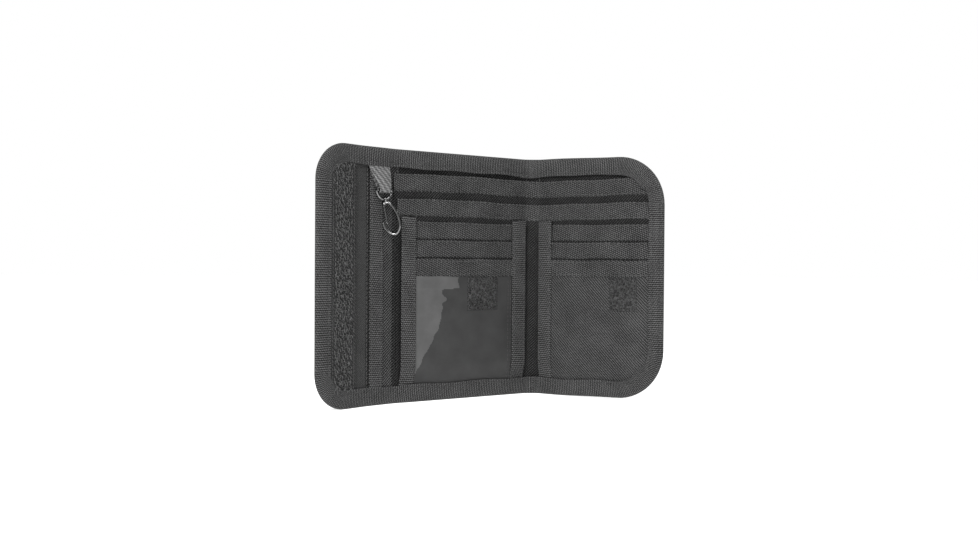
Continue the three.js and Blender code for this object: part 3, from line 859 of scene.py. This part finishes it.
# ---- card pockets ----
POCKET_TOPS = (91.0, 81.6)
BAND_TOP = 72.2
BAND_BOTTOM = BAND_TOP - TAPE_HEIGHT - 0.8
MIDDLE_SLOT = (-33.0, 31.7)
RIGHT_SLOT = (S_RIGHT + 6.8, SLOT_END)
# upright rows of sewing start this far above the foot of the wallet
SEWN_FROM = 9


def gaping(s_range, top, depth, seed):
    """A pocket's face: its mouth stands off a little between the side tapes."""
    s0, s1 = s_range

    def face(s, z):
        share = max(0.0, min(1.0, (s - s0) / (s1 - s0)))
        gape = 0.3 * sin(pi * share) * ease(top - 10, top, z)
        return stack(depth, s, z) + gape + 0.04 * ripple(s * 1.9, z * 1.3, seed)
    return face


def card_pocket(owner, panel, number, s_range):
    top = POCKET_TOPS[number - 1]
    face = gaping(s_range, top, DEPTHS[f"pocket_{number}"], number + s_range[0])
    edge = lambda s: top + 0.18 * sin(s * 0.19 + number * 2)
    sheet = Pile()
    layer(sheet, s_range, lambda s: STACK_FOOT, lambda s: edge(s) - 0.4, face, 0.18)
    # the pocket cloth shows only as a strip above the next mouth, and wears the darker twill as painted shade
    made = sheet.make(f"{owner}_pocket_{number}", "lining_cloth", PAINTED_SHADE_TWILL)
    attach(made, panel.body)
    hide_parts(f"{owner}_card_pocket_{number}")
    tape = Pile()
    over = lambda s, z: face(s, z) + 0.16
    layer(tape, s_range, lambda s: edge(s) - TAPE_HEIGHT + 0.25, edge, over, 0.5, pitch=1.8)
    low, high = s_range
    sew(tape, (low + 0.5, top - 0.6), (high - 0.5, top - 0.6), over, 1, pitch=1.7, radius=0.2)
    made = tape.make(f"{owner}_pocket_{number}_mouth_tape", "binding_tape", BAND, THREAD)
    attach(made, panel.body)
    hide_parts(f"{owner}_card_pocket_{number}_tape")


for number in (1, 2):
    card_pocket("middle", MIDDLE, number, MIDDLE_SLOT)
    card_pocket("right", RIGHT, number, RIGHT_SLOT)


def band(name, panel, s_range, node):
    face = gaping(s_range, BAND_TOP, DEPTHS["band"], 9 + s_range[0])
    edge = lambda s: BAND_TOP + 0.15 * sin(s * 0.23)
    foot = lambda s: BAND_BOTTOM + 0.7 + 0.12 * sin(s * 0.31)
    pile = Pile()
    layer(pile, s_range, foot, edge, face, 0.55, pitch=1.8)
    for z in (BAND_BOTTOM + 1.9, BAND_TOP - 1.3):
        sew(pile, (s_range[0] + 1, z), (s_range[1] - 1, z), face, 1)
    made = pile.make(name, "binding_tape", BAND, THREAD)
    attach(made, panel.body)
    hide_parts(node)


band("window_pocket_band", MIDDLE, MIDDLE_SLOT, "window_band")
band("right_pocket_3_mouth_band", RIGHT, RIGHT_SLOT, "right_pocket_3_band")


def right_front():
    """The front cloth of the third pocket on the right panel."""
    depth = DEPTHS["pocket_3"]
    face = lambda s, z: stack(depth, s, z) + 0.1 * ripple(s * 0.9, z * 0.8, 3) * ease(8, 30, z)
    pile = Pile()
    layer(pile, RIGHT_SLOT, lambda s: STACK_FOOT, lambda s: BAND_TOP - 1, face, 0.22)
    made = pile.make("right_pocket_3_cloth", "nylon_cloth", NYLON)
    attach(made, RIGHT.body)
    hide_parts("right_pocket_3")


right_front()


# ---- window film ----
def crease(z):
    """Where the film starts to lie flat against the cloth, as s at height z."""
    lean = mixed(-32.0, -14.7, ease(5.0, 46.0, z))
    step = 10.0 * ease(56.4, 57.4, z) + 3.2 * exp(-(((z - 51.5) / 1.6) ** 2))
    return lean + step + 0.5 * sin(z * 0.9) * sin(z * 0.23)


def film_face(s, z):
    """Left of the crease the film stands off the cloth."""
    slant = 0.012 * max(0.0, crease(z) - s)
    return stack(DEPTHS["film"], s, z) + min(slant, 0.3) + 0.02 * ripple(s, z, 6)


def window():
    pile = Pile()
    layer(pile, MIDDLE_SLOT, lambda s: STACK_FOOT, lambda s: BAND_TOP - 1, film_face, 0.12, pitch=0.45)
    for k, corners in enumerate(pile.faces):
        places = [pile.uvs[corner] for corner in corners]
        s = sum(place[0] for place in places) / len(places)
        z = sum(place[1] for place in places) / len(places)
        # left of the crease the film takes the lighter material, whose shade is a painted reflection
        pile.marks[k] = 2 if s < crease(z) else 0
    for s in (26.4, 28.0):
        sew(pile, (s, SEWN_FROM), (s, BAND_BOTTOM), lambda a, b: film_face(a, b) + 0.05, 1, radius=0.12)
    made = pile.make("window_clear_film", "window_film", FLAT_FILM, THREAD, LOOSE_FILM_PAINTED_REFLECTION)
    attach(made, MIDDLE.body)
    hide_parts("window_film")


window()


def window_back():
    """A cloth close behind the film, whose haze hides most of it."""
    face = lambda s, z: stack(DEPTHS["backing"], s, z) + 0.05 * ripple(s, z, 8)
    pile = Pile()
    layer(pile, MIDDLE_SLOT, lambda s: STACK_FOOT, lambda s: BAND_TOP - 2, face, 0.12)
    made = pile.make("window_backing_cloth", "nylon_cloth", NYLON)
    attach(made, MIDDLE.body)


window_back()


# ---- side tapes ----
SIDE_TAPE_TOP = 93.0


def side_tape(name, panel, s0, s1, node):
    mid = (s0 + s1) / 2

    def face(s, z):
        crown = 0.22 * (1 - ((s - mid) / (s1 - mid)) ** 2)
        return stack(DEPTHS["side"], s, z) + crown + 0.05 * ripple(s, z, s0)

    pile = Pile()
    top = lambda s: SIDE_TAPE_TOP + 0.1 * sin(s)
    layer(pile, (s0, s1), lambda s: STACK_FOOT, top, face, 0.45, pitch=1.4)
    # the ribs of a tape run across it, so its own length is the first of its two directions
    pile.uvs = [(z, s) for s, z in pile.uvs]
    for s in (s0 + 1.2, s1 - 1.2):
        sew(pile, (s, SEWN_FROM), (s, SIDE_TAPE_TOP - 0.5), face, 1)
    made = pile.make(name, "binding_tape", SIDE, THREAD)
    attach(made, panel.body)
    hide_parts(node)


side_tape("left_side_tape", MIDDLE, -38.9, -30.3, "middle_side_tape_left")
side_tape("spine_side_tape", MIDDLE, 28.7, 37.4, "middle_side_tape_right")
side_tape("right_panel_side_tape", RIGHT, S_RIGHT + 0.9, S_RIGHT + 9.4, "right_side_tape")


# ---- closure patches ----
def loops(pile, area, depth, count, mark, seed, side=1):
    """Tangled pile: small arches of fibre leaning every way."""
    rng = random.Random(seed)
    for _ in range(count):
        s = rng.uniform(area[0], area[1])
        z = rng.uniform(area[2], area[3])
        turn = rng.uniform(0, pi)
        reach = rng.uniform(0.5, 0.9)
        lean = rng.uniform(-0.3, 0.3)
        arch = []
        for k in range(5):
            swing = pi * k / 4
            out = reach * cos(swing)
            up = 0.5 * sin(swing)
            base = depth(s, z)
            across = out * cos(turn) - lean * up * sin(turn)
            along = out * sin(turn) + lean * up * cos(turn)
            arch.append(strip_at(s + across, base + side * (up - 0.05), z + along))
        pile.tube(arch, 0.13, 3, mark)


def patch(owner, panel, kind, area, base, count, fibre):
    """A closure patch, with its fibres only where it shows below the band."""
    face = lambda s, z: stack(base, s, z) + 0.03 * ripple(s, z, base)
    pile = Pile()
    layer(pile, area[:2], lambda s: area[2], lambda s: area[3], face, 0.15, pitch=2.0)
    loops(pile, (area[0] + 1, area[1] - 1, area[2] + 1, BAND_BOTTOM - 0.4), face, count, 1, int(area[0]))
    left, right, foot = area[0] + 0.6, area[1] - 0.6, area[2] + 0.6
    head = max(area[2] + 1.5, BAND_BOTTOM)
    edges = [((left, foot), (left, head)), ((right, foot), (right, head)), ((left, foot), (right, foot))]
    for start, end in edges:
        sew(pile, start, end, face, 2, radius=0.14)
    made = pile.make(f"{owner}_closure_{kind}_patch", f"{kind}_tape", GROUND, fibre, THREAD)
    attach(made, panel.body)
    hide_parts(f"{owner}_{kind}_patch")


# the loops show below the band, and the hook patches lie hidden behind it with no hooks drawn
PATCHES = (("middle", MIDDLE, 0.7, 19.6), ("right", RIGHT, S_RIGHT + 44, S_RIGHT + 59.5))
for owner, panel, s0, s1 in PATCHES:
    shown = (s0, s1, BAND_BOTTOM - 17, BAND_TOP - 3)
    patch(owner, panel, "loop", shown, DEPTHS["loops"], 800, LOOPS)
    hidden = (s0, s1, BAND_BOTTOM + 1, BAND_TOP - 2)
    patch(owner, panel, "hook", hidden, DEPTHS["hooks"], 0, HOOKS)


# ---- flap ----
def hook_tape():
    """Woven tape with rows of small hooks, which all droop the same way."""
    s0, s1 = S_OUTER - 24.2, S_OUTER - 7.2
    low = lambda s: within_corners(s, 7.6, HEIGHT)[0]
    high = lambda s: within_corners(s, 0.0, HEIGHT - 7.6)[1]
    face = lambda s, z: 1.15 + 0.06 * ripple(s, z, 2)
    pile = Pile()
    layer(pile, (s0, s1), low, high, face, 0.4, pitch=1.6)
    pile.uvs = [(z, s) for s, z in pile.uvs]
    for s in (s0 + 2.2, s1 - 1.6):
        sew(pile, (s, low(s)), (s, high(s)), face, 2, pitch=1.9)
    rng = random.Random(11)
    pitch, gap = 2.5, 1.0
    for column in range(int((s1 - s0 - 5.4) / gap)):
        s = s0 + 3.4 + column * gap
        foot, head = low(s), high(s)
        z = foot + 1.6 + (column % 2) * pitch / 2
        while z < head - 1.6:
            at = s + rng.uniform(-0.22, 0.22)
            here = z + rng.uniform(-0.5, 0.5)
            tall = rng.uniform(0.6, 1.05)
            lean = rng.gauss(0.0, 0.55)
            droop = rng.uniform(0.9, 1.7)
            shape = ((0.0, 0.0), (0.65, 0.1), (1.0, -0.25), (0.9, -0.7), (0.55, -1.0))
            stem = [strip_at(at + lean * up * tall, face(at, here) + tall * up - 0.05, here + droop * out)
                    for up, out in shape]
            pile.tube(stem, [0.15, 0.15, 0.14, 0.13, 0.1], 4, 1)
            z += pitch / 2 if rng.random() < 0.35 else pitch
    made = pile.make("flap_hook_closure", "hook_tape", GROUND, HOOKS, THREAD)
    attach(made, FLAP.body)
    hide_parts("flap_hook_tape")


hook_tape()


# ---- gusset ----
def hem_tape():
    s0, s1 = S_LEFT - 17.1, S_LEFT - 8.9
    face = lambda s, z: 1.05 + 0.12 * sin(pi * (s - s0) / (s1 - s0)) + 0.07 * ripple(s, z, 5)
    pile = Pile()
    layer(pile, (s0, s1), lambda s: 7.4, lambda s: HEIGHT - 7.4, face, 0.42, pitch=1.4)
    pile.uvs = [(z, s) for s, z in pile.uvs]
    for s in (s0 + 1.3, s1 - 1.3):
        sew(pile, (s, SEWN_FROM), (s, HEIGHT - SEWN_FROM), face, 1)
    made = pile.make("gusset_hemmed_tape", "lining_cloth", SIDE, THREAD)
    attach(made, GUSSET.body)
    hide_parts("gusset_hem_tape")


hem_tape()


def fold_seam(node, panel, s):
    """A row of sewing in the crease of a fold."""
    pile = Pile()
    sew(pile, (s, 6), (s, HEIGHT - 6), lambda a, b: 0.55, 0, radius=0.2)
    made = pile.make(f"{node}_stitching", "binding_tape", THREAD)
    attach(made, panel.body)
    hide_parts(node)


fold_seam("gusset_seam_outer", GUSSET, S_OUTER)
fold_seam("gusset_seam_inner", MIDDLE, S_LEFT)
fold_seam("spine_seam_left", MIDDLE, S_SPINE)
fold_seam("spine_seam_right", SPINE, S_RIGHT)


# ---- strap, ring and hook ----
STRAP_FOOT = 104.2
STRAP_HEAD = 117.6
RING_DEPTH = 2.4
RING_BAR = 105.45
RING_RADIUS = 4.6
RING_WIRE = 0.58
HOOK_WIRE = 0.6
EYE_WIRE = 0.35
GATE_WIRE = 0.42


def key_strap():
    """A satin tape doubled round the ring, spreading to its sewn end."""
    wall = 0.42
    bore = RING_DEPTH - 1.55
    rows = []
    path = [(1.05, STRAP_HEAD), (1.2, 112.0), (1.35, RING_BAR)]
    for k in range(1, 8):
        turn = pi * k / 8
        path.append((RING_DEPTH - bore * cos(turn) * 1.25, RING_BAR - bore * sin(turn) * 1.2))
    path += [(3.45, 106.0), (3.5, 108.2), (3.15, 111.0), (2.5, 113.5), (1.9, 115.8), (1.5, STRAP_HEAD)]
    run = 0.0
    for k, (depth, z) in enumerate(path):
        before, after = path[max(0, k - 1)], path[min(len(path) - 1, k + 1)]
        run += hypot(depth - before[0], z - before[1])
        tangent = Vector((after[0] - before[0], after[1] - before[1])).normalized()
        normal = Vector((-tangent.y, tangent.x))
        spread = ease(STRAP_FOOT + 1, STRAP_HEAD, z)
        left = STRAP_MIDDLE - mixed(3.3, 8.6, spread)
        right = STRAP_MIDDLE + mixed(3.4, 3.9, spread)
        ring = []
        count = 14
        for side in (1, -1):
            for m in range(count + 1):
                share = m / count if side > 0 else 1 - m / count
                x = mixed(left, right, share)
                crown = 0.25 * sin(pi * share) * spread + 0.1 * sin(share * 9 + z * 0.2)
                edge = rounding(min(share, 1 - share) * (right - left), 0.35)
                offset = -normal * (side * wall / 2 * edge)
                ring.append((GUSSET.at(x, depth + crown + offset.x, z + offset.y), (run, x)))
        rows.append(ring)
    pile = Pile()
    index = pile.rows(rows, 0, loop=True)
    pile.face(tuple(index[0]), 0)
    pile.face(tuple(reversed(index[-1])), 0)
    made = pile.make("key_strap_loop", "strap_tape", STRAP)
    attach(made, GUSSET.body)
    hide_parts("key_strap")


key_strap()


def smooth(points, count):
    """A smooth curve through points, as evenly counted places."""
    def at(t):
        k = min(int(t), len(points) - 2)
        f = t - k
        p = [Vector(points[max(0, min(len(points) - 1, k + d))]) for d in (-1, 0, 1, 2)]
        return 0.5 * (2 * p[1] + (p[2] - p[0]) * f + (2 * p[0] - 5 * p[1] + 4 * p[2] - p[3]) * f * f
                      + (3 * p[1] - p[0] - 3 * p[2] + p[3]) * f ** 3)
    return [at((len(points) - 1) * k / count) for k in range(count + 1)]


def wire_piece(name, node, body, *wires):
    """Round wires through points given as (x, depth, z) on the gusset."""
    pile = Pile()
    for points, radius, closed in wires:
        pile.tube([GUSSET.at(*point) for point in points], radius, 14, 0, closed)
    made = pile.make(name, "steel", STEEL)
    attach(made, body)
    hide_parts(node)


def key_ring():
    bow = []
    for k in range(33):
        turn = pi * k / 32
        x = STRAP_MIDDLE - RING_RADIUS * cos(turn)
        bow.append((x, RING_DEPTH, RING_BAR - RING_RADIUS * sin(turn)))
    bar = [(STRAP_MIDDLE + RING_RADIUS * (1 - 0.2 * k), RING_DEPTH, RING_BAR) for k in range(1, 10)]
    wire_piece("key_d_ring", "key_ring", "key_ring", (bow + bar, RING_WIRE, True))


key_ring()

HOOK_TOP = RING_BAR - RING_RADIUS - 0.2
HOOK_TURN = radians(48)
HOOK_LEAN = radians(14)
HOOK_PATH = [(0, -1.5), (1.9, -2.0), (3.9, -5.8), (4.8, -10.2), (4.4, -14.6),
             (2.0, -17.4), (-0.8, -16.6), (-2.7, -13.9), (-3.2, -10.8)]
GATE_PATH = [(-0.9, -2.8), (-1.0, -5.6), (-1.1, -8.6), (-1.3, -11.6)]


def hook_place(across, up):
    """A place across and up from the eye, leant and turned to how the hook hangs."""
    along = across * cos(HOOK_LEAN) - up * sin(HOOK_LEAN)
    rise = up * cos(HOOK_LEAN) + across * sin(HOOK_LEAN)
    x = STRAP_MIDDLE + along * cos(HOOK_TURN)
    return x, RING_DEPTH + along * sin(HOOK_TURN), HOOK_TOP + rise


def hook_points(path, count):
    return [hook_place(across, up) for across, up in smooth(path, count)]


def snap_hook():
    eye = []
    for k in range(20):
        turn = 2 * pi * k / 20
        eye.append((STRAP_MIDDLE, RING_DEPTH + 1.2 * cos(turn), HOOK_TOP + 1.2 * sin(turn)))
    collar = [(STRAP_MIDDLE, RING_DEPTH, HOOK_TOP - drop) for drop in (1.3, 1.5, 2.3, 2.5)]
    wire_piece("key_snap_hook", "snap_hook", "snap_hook", (hook_points(HOOK_PATH, 40), HOOK_WIRE, False),
               (eye, EYE_WIRE, True), (collar, [0.7, 0.9, 0.9, 0.7], False))
    wire_piece("key_snap_gate", "snap_gate", "snap_gate", (hook_points(GATE_PATH, 16), GATE_WIRE, False))


snap_hook()


# ---- zipped pocket on the outside ----
COIN_TOP = 59.0
ZIP_MIDDLE = 54.5


def coin_pocket():
    s0, s1 = S_RIGHT + 3, S_END - 6.4
    panel_top = COIN_TOP - 9.3
    face = lambda s, z: -1.62 + 0.06 * ripple(s, z, 12)
    pile = Pile()
    layer(pile, (s0, s1), lambda s: 7.6, lambda s: panel_top, face, 0.34)
    sew(pile, (s0 + 1, panel_top - 1.4), (s1 - 1, panel_top - 1.4), lambda s, z: -1.98, 1, side=-1)
    made = pile.make("coin_pocket_cloth", "nylon_cloth", OUTSIDE, THREAD)
    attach(made, RIGHT.body)
    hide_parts("coin_pocket_panel")

    pile = Pile()
    for low, high in ((COIN_TOP - 9, ZIP_MIDDLE - 0.25), (ZIP_MIDDLE + 0.25, COIN_TOP)):
        layer(pile, (s0, s1), lambda s: low, lambda s: high, face, 0.36, pitch=1.5)
    for z in (COIN_TOP - 1.2, COIN_TOP - 7.9):
        sew(pile, (s0 + 1, z), (s1 - 1, z), lambda s, z: -2.0, 1, side=-1)
    made = pile.make("coin_zip_woven_tape", "binding_tape", SIDE, THREAD)
    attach(made, RIGHT.body)
    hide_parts("coin_zip_tape")

    pile = Pile()
    pitch = 1.1
    for k in range(int((s1 - s0 - 6) / pitch)):
        for side in (1, -1):
            s = s0 + 3 + (k + (0.5 if side > 0 else 0)) * pitch
            turn = [(0.0, 1.55, -2.0), (0.05, 0.9, -2.3), (0.1, -0.25, -2.32), (0.25, -0.45, -2.18),
                    (0.4, -0.25, -2.05), (0.5, 0.9, -2.05), (0.52, 1.5, -2.0)]
            pile.tube([strip_at(s + a, d, ZIP_MIDDLE + side * b) for a, b, d in turn], 0.16, 6)
    made = pile.make("coin_zip_coil", "zip_coil", COIL)
    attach(made, RIGHT.body)
    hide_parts("coin_zip_chain")


coin_pocket()


def back_loops(name, low, high, base, node):
    s0, s1 = S_RIGHT + 49.5, S_RIGHT + 65.5
    pile = Pile()
    face = lambda s, z: base + 0.3
    layer(pile, (s0, s1), lambda s: low, lambda s: high, face, 0.3, pitch=2.0)
    count = int((high - low) * 22)
    loops(pile, (s0 + 1, s1 - 1, low + 1, high - 1), lambda s, z: base, count, 1, int(low), -1)
    for start, end in (((s0 + 0.7, low), (s0 + 0.7, high)), ((s1 - 0.7, low), (s1 - 0.7, high))):
        sew(pile, start, end, lambda s, z: base, 2, radius=0.14, side=-1)
    made = pile.make(name, "loop_tape", GROUND, LOOPS, THREAD)
    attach(made, RIGHT.body)
    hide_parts(node)


back_loops("back_upper_loop_tape", COIN_TOP + 2, HEIGHT - 9.2, -1.9, "back_loop_tape_upper")
back_loops("back_lower_loop_tape", 7.9, COIN_TOP - 10.3, -2.25, "back_loop_tape_lower")

for node in ("zip_slider", "zip_puller"):
    rounded = coloured(node, STEEL).modifiers.new("rounded edges", "BEVEL")
    rounded.width = 0.12 * MM
    rounded.segments = 2


# ---- floor, light and camera ----
FLOOR_GLOW = 0.65
AMBIENT = 0.42


def floor():
    """A pale floor that glows a little, so that it fades into the white of the studio."""
    mesh = bpy.data.meshes.new("floor")
    size = 6.0
    corners = [(-size, -size, 0), (size, -size, 0), (size, size, 0), (-size, size, 0)]
    mesh.from_pydata(corners, [], [(0, 1, 2, 3)])
    made = added("floor", mesh)
    shader = Shader("pale floor", 0.8, 0.0, 0.2)
    grain = shader.noise(shader.place(), 30.0, 3.0)
    shader.tint(shader.ramp(grain, (0.3, 0.86), (0.7, 0.9)))
    shader.bsdf.inputs["Emission Color"].default_value = grey(1.0)
    shader.bsdf.inputs["Emission Strength"].default_value = FLOOR_GLOW
    mesh.materials.append(shader.material)


def lamp(name, place, target, size, power):
    data = bpy.data.lights.new(name, "AREA")
    data.shape = "RECTANGLE"
    data.size, data.size_y = size
    data.energy = power
    made = added(name, data)
    made.location = place
    made.rotation_mode = "QUATERNION"
    made.rotation_quaternion = (Vector(target) - Vector(place)).to_track_quat("-Z", "Y")


def world(ambient):
    """A white studio to the eye, and a dimmer one to whatever stands in it."""
    made = bpy.data.worlds.new("white studio")
    made.use_nodes = True
    nodes, links = made.node_tree.nodes, made.node_tree.links
    seen = nodes.new("ShaderNodeBackground")
    seen.inputs["Color"].default_value = grey(1.0)
    lights = nodes["Background"]
    lights.inputs["Color"].default_value = grey(1.0)
    lights.inputs["Strength"].default_value = ambient
    path = nodes.new("ShaderNodeLightPath")
    mix = nodes.new("ShaderNodeMixShader")
    links.new(path.outputs["Is Camera Ray"], mix.inputs[0])
    links.new(lights.outputs[0], mix.inputs[1])
    links.new(seen.outputs[0], mix.inputs[2])
    links.new(mix.outputs[0], nodes["World Output"].inputs["Surface"])
    bpy.context.scene.world = made


floor()
world(AMBIENT)
HEART = (0.0, 0.0, 0.06)
lamp("key", (-0.75, -0.5, 0.75), HEART, (0.25, 0.25), 11)
lamp("top", (0.1, -0.3, 0.95), HEART, (0.5, 0.3), 4)

CAMERA_PLACE = Vector((-279.9, -439.2, 67.9)) * MM
CAMERA_HEADING = radians(34.0)
CAMERA_DIP = radians(0.42)
CAMERA_ROLL = radians(0.4)
FRAME_WIDTH = 978
FOCAL_PIXELS = 1000
SENSOR_WIDTH = 36.0


def camera():
    data = bpy.data.cameras.new("camera")
    data.sensor_width = SENSOR_WIDTH
    data.lens = SENSOR_WIDTH * FOCAL_PIXELS / FRAME_WIDTH
    data.clip_start = 0.01
    made = added("camera", data)
    ahead = Vector((sin(CAMERA_HEADING) * cos(CAMERA_DIP),
                    cos(CAMERA_HEADING) * cos(CAMERA_DIP), -sin(CAMERA_DIP)))
    level = Vector((cos(CAMERA_HEADING), -sin(CAMERA_HEADING), 0))
    up = level.cross(ahead)
    right = level * cos(CAMERA_ROLL) + up * sin(CAMERA_ROLL)
    up = up * cos(CAMERA_ROLL) - level * sin(CAMERA_ROLL)
    turn = Matrix((right, up, -ahead)).transposed().to_4x4()
    made.matrix_world = Matrix.Translation(CAMERA_PLACE) @ turn
    bpy.context.scene.camera = made


camera()
bpy.context.scene.view_settings.view_transform = "Standard"
